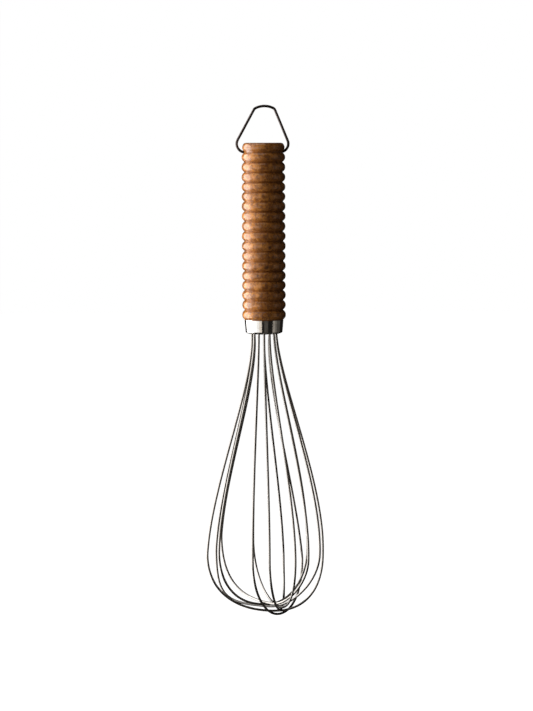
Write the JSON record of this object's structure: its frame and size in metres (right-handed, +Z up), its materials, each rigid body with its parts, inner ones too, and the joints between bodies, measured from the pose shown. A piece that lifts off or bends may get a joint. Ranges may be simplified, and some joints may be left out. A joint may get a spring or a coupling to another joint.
{
  "type": "balloon whisk",
  "caption": "Balloon whisk with separate spring-wire loops, a polished ferrule, a turned beaded wooden handle and a hinged wire hanging loop.",
  "frame": {"origin": "where a hook bears, at the top inside of the hanging loop", "axes": "+Z up along the handle as it hangs, +X along the hanging loop's hinge pins, -Y the front"},
  "size_m": [0.063, 0.0626, 0.2718],
  "materials": {
    "turned_wood": "oiled, warm orange-brown, satin",
    "plug_wood": "plain turned wood",
    "polished_steel": "polished stainless steel",
    "spring_steel_wire": "bright drawn stainless wire",
    "dark_steel_wire": "dark, lightly shiny steel wire",
    "sealing_resin": "dark hard resin"
  },
  "bodies": {
    "hanging_loop": {"hanging_loop": "dark_steel_wire"},
    "whisk": {"handle": "turned_wood", "ferrule": "polished_steel", "core_plug": "plug_wood", "mouth_seal": "sealing_resin", "wire_loop_1": "spring_steel_wire", "wire_loop_2": "spring_steel_wire", "wire_loop_3": "spring_steel_wire", "wire_loop_4": "spring_steel_wire", "wire_loop_5": "spring_steel_wire", "wire_loop_6": "spring_steel_wire", "wire_loop_7": "spring_steel_wire"}
  },
  "joints": [
    {"name": "loop_swing", "type": "hinge", "parent": "hanging_loop", "child": "whisk", "pos_m": [0, 0, -0.0236], "axis": [1, 0, 0], "range_deg": [-140, 140]}
  ]
}
